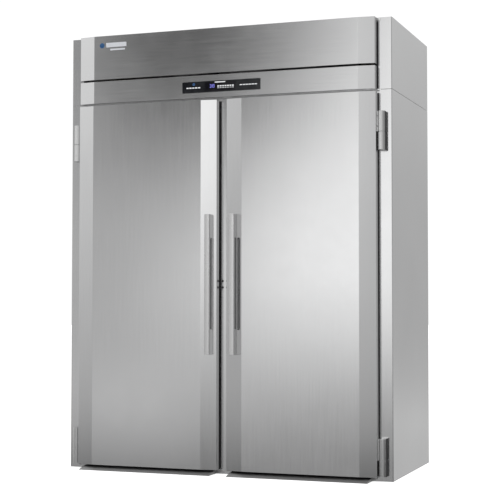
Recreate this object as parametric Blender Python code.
"""Two-section roll-in proofing cabinet: insulated case, two full-height doors, top machine section.

Metres, +Z up, +X to the right of someone facing the doors, +Y to the back. The origin is on the floor, at
the middle of the whole cabinet. Builders below give Y as the distance behind the front plane of the door
frame, so a negative Y stands out in front of it; add() moves each solid to its place.
"""

import math

import bmesh
import bpy
from mathutils import Matrix, Vector

CASE_WIDTH = 1.648
CASE_DEPTH = 0.766
CASE_HEIGHT = 2.140
FRONT_REACH = 0.100  # ramps and handles stand this far out of the frame plane
FRAME_Y = FRONT_REACH - (CASE_DEPTH + FRONT_REACH) / 2

GAP = 0.0003  # between solids that touch
SKIN = 0.0012  # outer sheet
PAN_SHEET = 0.0015  # folded door and header sheet
WALL = 0.060  # insulated wall
HALF = CASE_WIDTH / 2
WALL_IN = HALF - WALL  # inner side of the side walls

SEAM_Z = 1.805  # lower case below, machine section above
SEAM_GAP = 0.0015  # open joint between their outer sheets
OPENING_TOP = 1.757
OPENING_OUT = 0.727  # outer edge of a door opening
MULLION_HALF = 0.041
FLOOR_PAN_TOP = 0.017
STILE_IN = 0.760  # inner edge of the machine section's stile

PANEL_FRONT = 0.056  # flat field of doors, strip and header, in front of the frame
PANEL_EDGE = 0.046  # their outer vertical edges, set back
STRIP_WIDTH = 0.080  # angled vertical strip between the two
HEADER_OUT = 0.755
HEADER_Z = (1.920, 2.137)
CONTROL_Z = (1.802, 1.910)
DISPLAY_HALF = 0.200
DISPLAY_Z = (1.827, 1.881)

DOOR_X = (0.0243, 0.7587)
DOOR_Z = (0.022, 1.791)
DOOR_BACK = 0.019
GASKET_WIDTH = 0.0135
SWEEP_Z = (0.0175, 0.0217)

HANDLE_X = {"left": 0.0585, "right": 0.0665}  # middle of each pull, from the middle of the cabinet
HANDLE_HALF = 0.013
HANDLE_REACH = 0.094
HANDLE_EDGE = 0.008  # rounding of the pull's two front edges
HANDLE_Z = (0.571, 1.238)
GRIP_Z = (0.688, 1.125)
GRIP_Y = (-0.080, -0.057)

HINGE_X = 0.782
HINGE_Y = -0.030
HINGE_HALF = 0.017
HINGE_FRONT = -0.044
HINGE_BACK = -0.008  # back of the door half, clear of the frame
LEAF_EDGE = 0.759  # the door half's leaf ends at the door's edge
LEAF_BACK = -0.020
HINGE_SPANS = {"upper": (1.520, 1.604, 1.700), "lower": (0.024, 0.098, 0.198)}
PIN_RADIUS = 0.005

HEADER_PIVOT = (-0.0065, 2.1325)
HEADER_BACK = -0.002
HEADER_BORE = 0.0028
BRACKET_EAR = (0.7555, 0.7585)
BRACKET_FOOT = 0.7700
BRACKET_SHEET = 0.0020
BRACKET_Z = (2.1240, 2.1370)

BLOWER_X = (-0.400, -0.280)
BLOWER_Y = 0.598
BLOWER_Z = 1.960
SCROLL_SMALL = 0.068
SCROLL_LARGE = 0.105
OUTLET_IN = 0.062
WHEEL_DISC = -0.292  # back face of the wheel's disc, on the motor's side
BLADE_IN = 0.046
BLADE_OUT = 0.060
BLADE_LENGTH = 0.085
MOTOR_X = (-0.272, -0.165)
MOTOR_RADIUS = 0.055

DUCT_X = 0.500
DUCT_FRONT = 0.664
DUCT_BOTTOM = 0.100
LINER_SHEET = 0.001
LINER_BACK = CASE_DEPTH - WALL - GAP - LINER_SHEET
SLOT_COLUMNS = (-0.300, 0.300)
SLOT_HALF = 0.070
SLOT_HEIGHT = 0.010
SLOT_FIRST = 0.400
SLOT_PITCH = 0.110
SLOT_ROWS = 11
STEAM_HALF = 0.012  # half of the square opening round the steam tube
STEAM_Y = 0.683

LAMP_X = 0.380
LAMP_Y = 0.135
LAMP_DOME = ((0.009, 0.055), (0.011, 0.047), (0.024, 0.042), (0.032, 0.030), (0.035, 0.014))  # drop, radius

UPPER_BACK_Y = (0.7528, 0.7540)
UPPER_BACK_TOP = 2.118
VENT_CENTRES = (-0.480, -0.160, 0.160, 0.480)
VENT_HALF = 0.100
VENT_FIRST = 1.880
VENT_PITCH = 0.024
VENT_HEIGHT = 0.008
VENT_ROWS = 8
GLAND_AT = (0.700, 1.860)
GLAND_HOLE = 0.0115
COVER_DROP = 0.020
COVER_Y = (0.0045, 0.7644)


# Materials


def finish(name, colour, roughness, metallic):
    """A Principled material."""
    material = bpy.data.materials.new(name)
    material.use_nodes = True
    shader = material.node_tree.nodes["Principled BSDF"]
    shader.inputs["Base Color"].default_value = (*colour, 1)
    shader.inputs["Roughness"].default_value = roughness
    shader.inputs["Metallic"].default_value = metallic
    material.diffuse_color = (*colour, 1)
    return material


def steel(name, grey=0.62, roughness=0.33):
    return finish(name, (grey, grey, grey * 1.01), roughness, 1.0)


def foam(name):
    return finish(name, (0.80, 0.72, 0.50), 0.9, 0.0)


def dark(name, grey=0.02, roughness=0.6):
    return finish(name, (grey, grey, grey), roughness, 0.0)


# Solids


def prism(outline, axis, low, high):
    """An outline swept along X, Y or Z. Its points give the other two coordinates, in X, Y, Z order."""
    place = {
        "X": lambda a, b, depth: (depth, a, b),
        "Y": lambda a, b, depth: (a, depth, b),
        "Z": lambda a, b, depth: (a, b, depth),
    }[axis]
    bm = bmesh.new()
    near = [bm.verts.new(place(a, b, low)) for a, b in outline]
    far = [bm.verts.new(place(a, b, high)) for a, b in outline]
    bm.faces.new(near)
    bm.faces.new(far)
    for i in range(len(outline)):
        j = (i + 1) % len(outline)
        bm.faces.new((near[i], near[j], far[j], far[i]))
    return outward(bm)


def outward(bm):
    bmesh.ops.recalc_face_normals(bm, faces=bm.faces)
    return bm


def block(xs, ys, zs):
    """A box between two values on each axis."""
    (x0, x1), (y0, y1) = xs, ys
    return prism([(x0, y0), (x1, y0), (x1, y1), (x0, y1)], "Z", *zs)


def blocks(boxes):
    """Several boxes that don't touch, in one mesh, to cut with."""
    bm = bmesh.new()
    for xs, ys, zs in boxes:
        box = block(xs, ys, zs)
        mesh = bpy.data.meshes.new("box")
        box.to_mesh(mesh)
        box.free()
        bm.from_mesh(mesh)
        bpy.data.meshes.remove(mesh)
    return outward(bm)


def arc(centre, radius, start, end, steps=5):
    """Points round a centre, with the angles in degrees."""
    turn = [math.radians(start + (end - start) * i / steps) for i in range(steps + 1)]
    return [(centre[0] + radius * math.cos(a), centre[1] + radius * math.sin(a)) for a in turn]


def turned(profile, axis, centre, steps=32):
    """A profile of (distance along the axis, radius) turned round it, with both ends closed flat."""
    place = {
        "X": lambda d, u, v: (d, centre[0] + u, centre[1] + v),
        "Y": lambda d, u, v: (centre[0] + u, d, centre[1] + v),
        "Z": lambda d, u, v: (centre[0] + u, centre[1] + v, d),
    }[axis]
    angles = [2 * math.pi * i / steps for i in range(steps)]
    bm = bmesh.new()
    rings = [
        [bm.verts.new(place(d, r * math.cos(a), r * math.sin(a))) for a in angles] for d, r in profile
    ]
    bm.faces.new(rings[0])
    bm.faces.new(rings[-1])
    for near, far in zip(rings, rings[1:]):
        for i in range(steps):
            j = (i + 1) % steps
            bm.faces.new((near[i], near[j], far[j], far[i]))
    return outward(bm)


def boss(bm, toward, inset, depth):
    """Insets the flat face that looks toward a direction and pushes it out, or in for a negative depth."""
    toward = Vector(toward)
    face = max(bm.faces, key=lambda f: (f.normal.dot(toward), f.calc_center_median().dot(toward)))
    bmesh.ops.inset_region(bm, faces=[face], thickness=inset, use_even_offset=True)
    top = bmesh.ops.extrude_face_region(bm, geom=[face])
    moved = [v for v in top["geom"] if isinstance(v, bmesh.types.BMVert)]
    bmesh.ops.translate(bm, verts=moved, vec=toward * depth)
    bmesh.ops.delete(bm, geom=[face], context="FACES")
    return outward(bm)


def folded_outline(x0, x1, back, offset, strips):
    """Plan of a folded front: flat field, an angled strip at each side, and returns to the back."""
    slope = (PANEL_FRONT - PANEL_EDGE) / STRIP_WIDTH
    edge = -PANEL_EDGE - slope * offset + offset
    field = -PANEL_FRONT + offset
    return [
        (x0 + offset, back),
        (x0 + offset, edge),
        (x0 + strips[0], field),
        (x1 - strips[1], field),
        (x1 - offset, edge),
        (x1 - offset, back),
    ]


def folded_pan(x0, x1, back, zs, strips=(STRIP_WIDTH, STRIP_WIDTH)):
    """A folded sheet front with its four returns, open at the back."""
    bm = bmesh.new()
    rings = []
    for offset, low, high in ((0, zs[0], zs[1]), (PAN_SHEET, zs[0] + PAN_SHEET, zs[1] - PAN_SHEET)):
        plan = folded_outline(x0, x1, back, offset, strips)
        rings.append([[bm.verts.new((x, y, z)) for x, y in plan] for z in (low, high)])
    for low, high in rings:
        bm.faces.new(low)
        bm.faces.new(high)
        for i in range(len(low) - 1):
            bm.faces.new((low[i], low[i + 1], high[i + 1], high[i]))
    corners = [(low[0], low[-1], high[-1], high[0]) for low, high in rings]
    for i in range(4):
        j = (i + 1) % 4
        bm.faces.new((corners[0][i], corners[0][j], corners[1][j], corners[1][i]))
    return outward(bm)


# Objects


def add(name, bm, material, pivot=None, smooth=False):
    """Makes a node from a solid, at its place behind the frame plane."""
    bmesh.ops.translate(bm, verts=bm.verts, vec=(0, FRAME_Y, 0))
    mesh = bpy.data.meshes.new(name)
    bm.to_mesh(mesh)
    bm.free()
    mesh.materials.append(material)
    if smooth:
        mesh.shade_smooth()
        mesh.set_sharp_from_angle(angle=math.radians(35))
    node = bpy.data.objects.new(name, mesh)
    bpy.context.scene.collection.objects.link(node)
    hang(node, pivot)
    return node


def hang(node, pivot):
    if pivot:
        node.parent = pivot
        node.matrix_parent_inverse = Matrix.Translation(-pivot.location)


def axis_point(name, x, y, z):
    """An empty on a joint's axis, which the pieces of that body hang from."""
    empty = bpy.data.objects.new(name, None)
    empty.location = (x, y + FRAME_Y, z)
    bpy.context.scene.collection.objects.link(empty)
    return empty


def combine(node, bm, operation):
    """Cuts a solid out of a node, or joins it on."""
    tool = add(f"{node.name}_tool", bm, node.data.materials[0])
    tool.hide_render = True
    tool.display_type = "WIRE"
    modifier = node.modifiers.new(operation.title(), "BOOLEAN")
    modifier.operation = operation
    modifier.object = tool


def tube(name, points, radius, material, sides=2):
    """A bent tube along a list of points."""
    curve = bpy.data.curves.new(name, "CURVE")
    curve.dimensions = "3D"
    curve.bevel_depth = radius
    curve.bevel_resolution = sides
    curve.use_fill_caps = True
    spline = curve.splines.new("POLY")
    spline.points.add(len(points) - 1)
    for point, (x, y, z) in zip(spline.points, points):
        point.co = (x, y + FRAME_Y, z, 1)
    curve.materials.append(material)
    node = bpy.data.objects.new(name, curve)
    bpy.context.scene.collection.objects.link(node)
    return node


def both(side, near, far):
    """A span given as distances from the middle, on one side of it, low value first."""
    return tuple(sorted((side * near, side * far)))


# Lower case


def wrapped_side(name, side, inner, zs, jamb_depth):
    """Side sheet folded round the front corner, and round the opening's edge where jamb_depth is given."""
    bend = 0.004
    corner = arc((HALF - bend, bend), bend, -90, 0, 4)
    inside = arc((HALF - bend, bend), bend - SKIN, 0, -90, 4)
    outline = [(inner, 0), *corner, (HALF, CASE_DEPTH), (HALF - SKIN, CASE_DEPTH), *inside]
    if jamb_depth:
        outline += [(inner + SKIN, SKIN), (inner + SKIN, jamb_depth), (inner, jamb_depth)]
    else:
        outline += [(inner, SKIN)]
    outline = [(side * x, y) for x, y in outline]
    add(name, prism(outline, "Z", *zs), steel(name))


def side_wall(side, word):
    inner_skin = HALF - SKIN - GAP
    wrapped_side(f"{word}_side_panel", side, OPENING_OUT, (0, SEAM_Z - SEAM_GAP), WALL)
    core = block(
        both(side, WALL_IN, inner_skin),
        (WALL + 2 * GAP, CASE_DEPTH - SKIN - GAP),
        (0, SEAM_Z - SEAM_GAP),
    )
    add(f"{word}_wall_core", core, foam(f"{word}_wall_core"))
    xs = both(side, OPENING_OUT + SKIN + GAP, inner_skin - 0.003)
    jamb = block(xs, (0.0045, WALL + GAP), (0, SEAM_Z - SEAM_GAP))
    add(f"{word}_jamb", jamb, foam(f"{word}_jamb"))


def back_wall():
    width = both(1, -(HALF - SKIN - GAP), HALF - SKIN - GAP)
    sheet = block(width, (CASE_DEPTH - SKIN, CASE_DEPTH), (0, SEAM_Z - SEAM_GAP))
    add("back_panel", sheet, steel("back_panel"))
    inner = WALL_IN - GAP
    core = block((-inner, inner), (CASE_DEPTH - WALL, CASE_DEPTH - SKIN - GAP), (0, OPENING_TOP - GAP))
    add("back_wall_core", core, foam("back_wall_core"))


def ceiling():
    """Insulated ceiling, which the machine section stands on, with its air and steam openings."""
    inner = WALL_IN - GAP
    ys = (WALL + 2 * GAP, CASE_DEPTH - SKIN - GAP)
    panel = block((-inner, inner), ys, (OPENING_TOP, SEAM_Z - 2 * GAP))
    node = add("ceiling_panel", panel, steel("ceiling_panel", 0.55))
    through = (OPENING_TOP - 0.01, SEAM_Z + 0.01)
    openings = [
        (inside_blower(), outlet_span(0.002), through),
        ((-0.560, -0.440), (0.540, 0.640), through),
        (*steam_opening(), through),
    ]
    combine(node, blocks(openings), "DIFFERENCE")


def inside_blower():
    return BLOWER_X[0] + 0.002, BLOWER_X[1] - 0.002


def steam_opening():
    return (-STEAM_HALF, STEAM_HALF), (STEAM_Y - STEAM_HALF, STEAM_Y + STEAM_HALF)


def frame_and_floor():
    edge = 0.003
    face = [*arc((MULLION_HALF - edge, edge), edge, -90, 0, 3), (MULLION_HALF, WALL)]
    outline = face + [(-x, y) for x, y in reversed(face)]
    add("mullion", prism(outline, "Z", 0, OPENING_TOP - GAP), steel("mullion"))
    rail = block((GAP - OPENING_OUT, OPENING_OUT - GAP), (0, WALL), (OPENING_TOP, SEAM_Z - 2 * GAP))
    add("head_rail", rail, steel("head_rail"))
    step, front = WALL + 3 * GAP, 0.0005
    wide, narrow, post = WALL_IN - 2 * GAP, OPENING_OUT - GAP, MULLION_HALF + GAP
    half = [(post, front), (narrow, front), (narrow, step), (wide, step), (wide, LINER_BACK)]
    outline = half + [(-x, y) for x, y in reversed(half)]
    outline += [(-post, step), (post, step)]
    add("floor_pan", prism(outline, "Z", 0, FLOOR_PAN_TOP), steel("floor_pan", 0.5, 0.45))


def liner():
    front = WALL + 3 * GAP
    out, back = WALL_IN - GAP, CASE_DEPTH - WALL - GAP
    half = [(out, front), (out, back)]
    inside = [(out - LINER_SHEET, back - LINER_SHEET), (out - LINER_SHEET, front)]
    outline = [(-x, y) for x, y in half] + list(reversed(half)) + list(reversed(inside))
    outline += [(-x, y) for x, y in inside]
    body = prism(outline, "Z", FLOOR_PAN_TOP + GAP, OPENING_TOP - GAP)
    add("interior_liner", body, steel("interior_liner", 0.6, 0.38))


def ramp(side, word):
    """Wedge from the floor up to the floor pan, low enough for the door to pass over."""
    outline = [(-FRONT_REACH, 0), (-FRONT_REACH, 0.0015), (-0.052, 0.014), (0, FLOOR_PAN_TOP), (0, 0)]
    xs = both(side, MULLION_HALF + 0.002, OPENING_OUT - GAP)
    add(f"{word}_ramp", prism(outline, "X", *xs), steel(f"{word}_ramp", 0.4, 0.45))


def rail_nose(wall, z0, z1):
    """Rounded front of a rail that stands out from a wall, seen from its end."""
    reach, round_off = 0.025, 0.006
    front = wall - reach + round_off
    nose = arc((front, z1 - round_off), round_off, 90, 180, 3)
    return nose + arc((front, z0 + round_off), round_off, 180, 270, 3)


def bumper_rails():
    """Rails at rack height on the three walls."""
    inner, back = WALL_IN - 0.0016, DUCT_FRONT - GAP
    z0, z1 = 0.270, 0.330
    for side, word in SIDES:
        outline = [(side * x, z) for x, z in [(inner, z0), (inner, z1), *rail_nose(inner, z0, z1)]]
        rail = prism(outline, "Y", 0.090, 0.636)
        add(f"{word}_bumper_rail", rail, steel(f"{word}_bumper_rail", 0.55))
    rail = prism([(back, z0), (back, z1), *rail_nose(back, z0, z1)], "X", -0.700, 0.700)
    add("rear_bumper_rail", rail, steel("rear_bumper_rail", 0.55))


def rear_duct():
    """Air duct on the back wall, fed from the top, with two columns of outlet slots."""
    sheet, top, back = LINER_SHEET, OPENING_TOP - 2 * GAP, LINER_BACK - GAP
    body = block((-DUCT_X, DUCT_X), (DUCT_FRONT, back), (DUCT_BOTTOM, top))
    body = boss(body, (0, 1, 0), sheet, DUCT_FRONT + sheet - back)
    node = add("rear_air_duct", body, steel("rear_air_duct", 0.58, 0.38))
    front, above = (DUCT_FRONT - 0.01, DUCT_FRONT + 0.01), (top - 0.01, top + 0.01)
    holes = [(inside_blower(), (DUCT_FRONT + 0.004, outlet_span(0.0025)[1]), above)]
    holes.append((*steam_opening(), above))
    for centre in SLOT_COLUMNS:
        for row in range(SLOT_ROWS):
            z = SLOT_FIRST + SLOT_PITCH * row
            holes.append(((centre - SLOT_HALF, centre + SLOT_HALF), front, (z, z + SLOT_HEIGHT)))
    combine(node, blocks(holes), "DIFFERENCE")


def chamber_fittings():
    dome = [(OPENING_TOP - GAP, LAMP_DOME[0][1])]
    dome += [(OPENING_TOP - drop, radius) for drop, radius in LAMP_DOME]
    for side, word in SIDES:
        name = f"{word}_chamber_light"
        lamp = turned(dome, "Z", (side * LAMP_X, LAMP_Y), 32)
        add(name, lamp, finish(name, (0.9, 0.9, 0.85), 0.3, 0), smooth=True)
    edge = WALL_IN - 0.0016
    probe = block((edge - 0.018, edge), (0.400, 0.440), (1.560, 1.660))
    add("chamber_probe", boss(probe, (-1, 0, 0), 0.006, 0.004), steel("chamber_probe", 0.6, 0.3))


# Machine section


def machine_shell():
    for side, word in SIDES:
        wrapped_side(f"{word}_upper_side", side, STILE_IN, (SEAM_Z, CASE_HEIGHT - 0.0002), 0)
    width = HALF - SKIN - GAP
    back = block((-width, width), UPPER_BACK_Y, (SEAM_Z, UPPER_BACK_TOP))
    node = add("upper_back_panel", back, steel("upper_back_panel"))
    through = (UPPER_BACK_Y[0] - 0.01, UPPER_BACK_Y[1] + 0.01)
    x, z = GLAND_AT
    holes = [((x - GLAND_HOLE, x + GLAND_HOLE), through, (z - GLAND_HOLE, z + GLAND_HOLE))]
    for centre in VENT_CENTRES:
        for row in range(VENT_ROWS):
            z = VENT_FIRST + VENT_PITCH * row
            holes.append(((centre - VENT_HALF, centre + VENT_HALF), through, (z, z + VENT_HEIGHT)))
    combine(node, blocks(holes), "DIFFERENCE")
    add("top_cover", prism(cover_outline(), "X", -width, width), steel("top_cover"))


def cover_outline():
    """End view of the top sheet, folded down at the front and the back."""
    low, high = CASE_HEIGHT - COVER_DROP, CASE_HEIGHT
    near, far = COVER_Y
    outline = [(near, high), (near, low), (near + SKIN, low), (near + SKIN, high - SKIN)]
    outline += [(far - SKIN, high - SKIN), (far - SKIN, low), (far, low), (far, high)]
    return outline


def control_front():
    pan = folded_pan(-HEADER_OUT, HEADER_OUT, -GAP, CONTROL_Z)
    node = add("control_strip", pan, steel("control_strip"))
    rim, play = 0.0085, 0.001
    half, (low, high) = DISPLAY_HALF - rim + play, DISPLAY_Z
    hole = block((-half, half), (-0.070, -0.050), (low + rim - play, high - rim + play))
    combine(node, hole, "DIFFERENCE")
    plate = block((-DISPLAY_HALF, DISPLAY_HALF), (-0.0580, -PANEL_FRONT - GAP), DISPLAY_Z)
    add("display_module", boss(plate, (0, 1, 0), rim, 0.036), dark("display_module", 0.01, 0.1))


def header():
    """Service panel that swings up on two pins at its top."""
    pivot = axis_point("header_pivot", 0, *HEADER_PIVOT)
    pan = folded_pan(-HEADER_OUT, HEADER_OUT, HEADER_BACK, HEADER_Z)
    node = add("header_panel", pan, steel("header_panel"), pivot)
    for side, word in SIDES:
        xs = both(side, HEADER_OUT - 0.004, HEADER_OUT + 0.002)
        combine(node, turned([(x, HEADER_BORE) for x in xs], "X", HEADER_PIVOT, 16), "DIFFERENCE")
        header_bracket(side, word)


def header_bracket(side, word):
    """Angle on the stile with the pin that the header turns on."""
    (near, far), bend = BRACKET_EAR, -BRACKET_SHEET - GAP
    outline = [(near, -0.012), (far, -0.012), (far, bend), (BRACKET_FOOT, bend), (BRACKET_FOOT, -GAP)]
    outline += [(near, -GAP)]
    name = f"{word}_header_pivot"
    bracket = add(name, prism([(side * x, y) for x, y in outline], "Z", *BRACKET_Z), steel(name, 0.5))
    pin = [(side * (near - 0.006), HEADER_BORE - GAP), (side * (near + 0.001), HEADER_BORE - GAP)]
    combine(bracket, turned(pin, "X", HEADER_PIVOT, 16), "UNION")


def outlet_span(margin):
    return BLOWER_Y + OUTLET_IN + margin, BLOWER_Y + SCROLL_LARGE - margin


def scroll(sheet, bottom):
    """Side view of the blower's spiral, with its outlet going down."""
    last = 330
    near, far = outlet_span(sheet)
    outline = [(near, bottom), (far, bottom)]
    for step in range(34):
        angle = last * step / 33
        radius = SCROLL_LARGE - (SCROLL_LARGE - SCROLL_SMALL) * angle / last - sheet
        turn = math.radians(angle)
        outline.append((BLOWER_Y + radius * math.cos(turn), BLOWER_Z + radius * math.sin(turn)))
    return outline


def blower():
    """Centrifugal blower: scroll, wheel with its shaft, and motor, all on one axis along X."""
    centre, sheet = (BLOWER_Y, BLOWER_Z), 0.0015
    housing = prism(scroll(0, SEAM_Z), "X", *BLOWER_X)
    node = add("blower_housing", housing, steel("blower_housing", 0.45, 0.45))
    hollow = prism(scroll(sheet, SEAM_Z - 0.01), "X", BLOWER_X[0] + sheet, BLOWER_X[1] - sheet)
    combine(node, hollow, "DIFFERENCE")
    inlet = [(BLOWER_X[0] - 0.005, 0.042), (BLOWER_X[0] + 0.005, 0.042)]
    combine(node, turned(inlet, "X", centre, 32), "DIFFERENCE")
    passage = [(BLOWER_X[1] - 0.005, 0.012), (BLOWER_X[1] + 0.005, 0.012)]
    combine(node, turned(passage, "X", centre, 24), "DIFFERENCE")
    pivot = axis_point("blower_axis", -0.340, *centre)
    root = WHEEL_DISC - 0.003
    profile = [(root - 0.017, 0.012), (root, 0.012), (root, BLADE_IN), (root, BLADE_OUT)]
    profile += [(WHEEL_DISC, BLADE_OUT), (WHEEL_DISC, 0.006), (-0.245, 0.006)]
    wheel = turned(profile, "X", centre, 48)
    ring = [f for f in wheel.faces if is_blade_root(f, root, centre)]
    ring.sort(key=lambda f: around(f, centre))
    blades = bmesh.ops.extrude_discrete_faces(wheel, faces=ring[::2])["faces"]
    for blade in blades:
        bmesh.ops.translate(wheel, verts=blade.verts, vec=(-BLADE_LENGTH, 0, 0))
    add("blower_wheel", outward(wheel), steel("blower_wheel", 0.5, 0.4), pivot)
    near, far = MOTOR_X
    foot, shoulder, bore = BLOWER_X[1] + GAP, MOTOR_RADIUS - 0.015, 0.0063
    body = [(far, shoulder), (far - 0.005, MOTOR_RADIUS), (near, MOTOR_RADIUS), (foot, shoulder)]
    body += [(foot, bore), (-0.240, bore)]
    add("blower_motor", turned(body, "X", centre, 32), dark("blower_motor", 0.08, 0.5), smooth=True)


def is_blade_root(face, plane, centre):
    """Whether a face is one of the ring of quads that the blades grow from."""
    radii = [math.hypot(v.co.y - centre[0], v.co.z - centre[1]) for v in face.verts]
    flat = all(abs(v.co.x - plane) < 1e-6 for v in face.verts)
    return flat and len(face.verts) == 4 and min(radii) > BLADE_IN - 1e-4


def around(face, centre):
    middle = face.calc_center_median()
    return math.atan2(middle.z - centre[1], middle.y - centre[0])


def heater():
    """Tubular heater in four runs behind the duct's front."""
    y, half, pitch, top = 0.685, 0.300, 0.060, 1.590
    points = []
    for run in range(4):
        z, side = top - pitch * run, (-1) ** run
        points += [(side * half, y, z), (-side * half, y, z)]
        if run == 3:
            break
        for i in range(1, 6):
            turn = math.pi * i / 6
            reach = half + pitch / 2 * math.sin(turn)
            points.append((-side * reach, y, z - pitch / 2 + pitch / 2 * math.cos(turn)))
    tube("air_heater", points, 0.005, steel("air_heater", 0.35, 0.5))


def humidity():
    tank = block((0.100, 0.400), (0.450, 0.700), (SEAM_Z, 1.960))
    add("humidity_tank", boss(tank, (0, 0, 1), 0.012, 0.006), steel("humidity_tank", 0.6, 0.4))
    bend, level, side = 0.040, 1.900, STEAM_Y - 0.120
    route = [(0.100 - GAP, side, level)]
    route += [(bend - bend * math.sin(a), side + bend - bend * math.cos(a), level) for a in quarter(5)]
    for a in quarter(5):
        route.append((0.0, STEAM_Y - bend + bend * math.sin(a), level - bend + bend * math.cos(a)))
    route += [(0.0, STEAM_Y, 1.740), (0.0, STEAM_Y, 1.640)]
    tube("steam_tube", route, 0.009, steel("steam_tube", 0.5, 0.4), 3)
    valve = block((0.460, 0.540), (0.600, 0.680), (SEAM_Z, 1.845))
    add("water_valve", boss(valve, (0, 0, 1), 0.018, 0.045), finish("water_valve", (0.6, 0.45, 0.2), 0.4, 1))


def quarter(steps):
    return [math.pi / 2 * i / steps for i in range(steps + 1)]


def electrics():
    box = block((0.280, 0.640), (0.100, 0.340), (SEAM_Z, 1.990))
    add("control_box", boss(box, (0, 0, 1), 0.010, 0.004), finish("control_box", (0.55, 0.56, 0.57), 0.5, 0))
    sheet, collar = UPPER_BACK_Y[1], GLAND_HOLE - 0.0005
    gland = [(sheet - 0.019, collar), (sheet + GAP, collar), (sheet + GAP, 0.016), (sheet + 0.008, 0.016)]
    gland += [(sheet + 0.011, 0.012), (sheet + 0.011, 0.007), (sheet - 0.014, 0.007)]
    add("cable_gland", turned(gland, "Y", GLAND_AT, 24), dark("cable_gland"), smooth=True)


# Doors


def door(side, word):
    """One door with all that swings with it."""
    pivot = axis_point(f"{word}_door_axis", side * HINGE_X, HINGE_Y, 0)
    x0, x1 = both(side, *DOOR_X)
    pan = folded_pan(x0, x1, -DOOR_BACK, DOOR_Z)
    add(f"{word}_door_panel", pan, steel(f"{word}_door_panel"), pivot)
    clear = PAN_SHEET + GAP
    plan = folded_outline(x0, x1, -DOOR_BACK, clear, (STRIP_WIDTH, STRIP_WIDTH))
    inner = boss(prism(plan, "Z", DOOR_Z[0] + clear, DOOR_Z[1] - clear), (0, 1, 0), 0.040, 0.010)
    name = f"{word}_door_inner_panel"
    add(name, inner, steel(name, 0.6, 0.4), pivot)
    gasket(side, word, pivot)
    xs = both(side, DOOR_X[0] + 0.0027, DOOR_X[1] - 0.0027)
    add(f"{word}_door_sweep", block(xs, (-0.040, -0.021), SWEEP_Z), dark(f"{word}_door_sweep"), pivot)
    handle(side, word, pivot)
    for place, (low, split, high) in HINGE_SPANS.items():
        hinge(side, f"{word}_{place}", pivot, low, split, high)


def gasket(side, word, pivot):
    """Seal down both edges and across the top of a door."""
    near, far = DOOR_X[0] + 0.0027, DOOR_X[1] - 0.0027
    low, high, width = DOOR_Z[0] + 0.002, DOOR_Z[1] - 0.002, GASKET_WIDTH
    outline = [(near, low), (near, high), (far, high), (far, low), (far - width, low)]
    outline += [(far - width, high - width), (near + width, high - width), (near + width, low)]
    outline = [(side * x, z) for x, z in outline]
    seal = prism(outline, "Y", -DOOR_BACK + GAP, -0.0006)
    add(f"{word}_door_gasket", seal, dark(f"{word}_door_gasket"), pivot)


def handle(side, word, pivot):
    """Upright pull: a bar with a solid block at each end and a base plate on the angled strip."""
    slope, edge = (PANEL_FRONT - PANEL_EDGE) / STRIP_WIDTH, HANDLE_EDGE
    near, far = HANDLE_X[word] - HANDLE_HALF, HANDLE_X[word] + HANDLE_HALF
    base = [(x, -PANEL_EDGE - slope * (x - DOOR_X[0]) - GAP) for x in (far, near)]
    nose = arc((near + edge, edge - HANDLE_REACH), edge, 180, 270, 4)
    nose += arc((far - edge, edge - HANDLE_REACH), edge, 270, 360, 4)
    outline = [(side * x, y) for x, y in [*base, *nose]]
    name = f"{word}_door_handle"
    node = add(name, prism(outline, "Z", *HANDLE_Z), steel(name, 0.6, 0.3), pivot)
    grip = block(both(side, near - 0.01, far + 0.01), GRIP_Y, GRIP_Z)
    combine(node, grip, "DIFFERENCE")


def hinge(side, prefix, pivot, low, split, high):
    """Frame half with its pin below, door half with its bore above."""
    near, far = HINGE_X - HINGE_HALF, HINGE_X + HINGE_HALF
    fixed = block(both(side, near, far), (HINGE_FRONT, -GAP), (low, split - GAP))
    name = f"{prefix}_frame_hinge"
    node = add(name, fixed, steel(name, 0.6, 0.3))
    centre = (side * HINGE_X, HINGE_Y)
    pin = [(split - 0.010, PIN_RADIUS), (split + 0.050, PIN_RADIUS)]
    combine(node, turned(pin, "Z", centre, 24), "UNION")
    leaf = [(LEAF_EDGE, HINGE_FRONT), (far, HINGE_FRONT), (far, HINGE_BACK), (near, HINGE_BACK)]
    leaf += [(near, LEAF_BACK), (LEAF_EDGE, LEAF_BACK)]
    name = f"{prefix}_door_hinge"
    swinging = prism([(side * x, y) for x, y in leaf], "Z", split + GAP, high)
    node = add(name, swinging, steel(name, 0.6, 0.3), pivot)
    bore = [(split - 0.010, PIN_RADIUS + GAP), (split + 0.055, PIN_RADIUS + GAP)]
    combine(node, turned(bore, "Z", centre, 24), "DIFFERENCE")


SIDES = ((-1, "left"), (1, "right"))


def cabinet():
    for node in list(bpy.data.objects):
        bpy.data.objects.remove(node)
    for side, word in SIDES:
        side_wall(side, word)
        ramp(side, word)
        door(side, word)
    back_wall()
    ceiling()
    frame_and_floor()
    liner()
    bumper_rails()
    rear_duct()
    chamber_fittings()
    machine_shell()
    control_front()
    header()
    blower()
    heater()
    humidity()
    electrics()


cabinet()
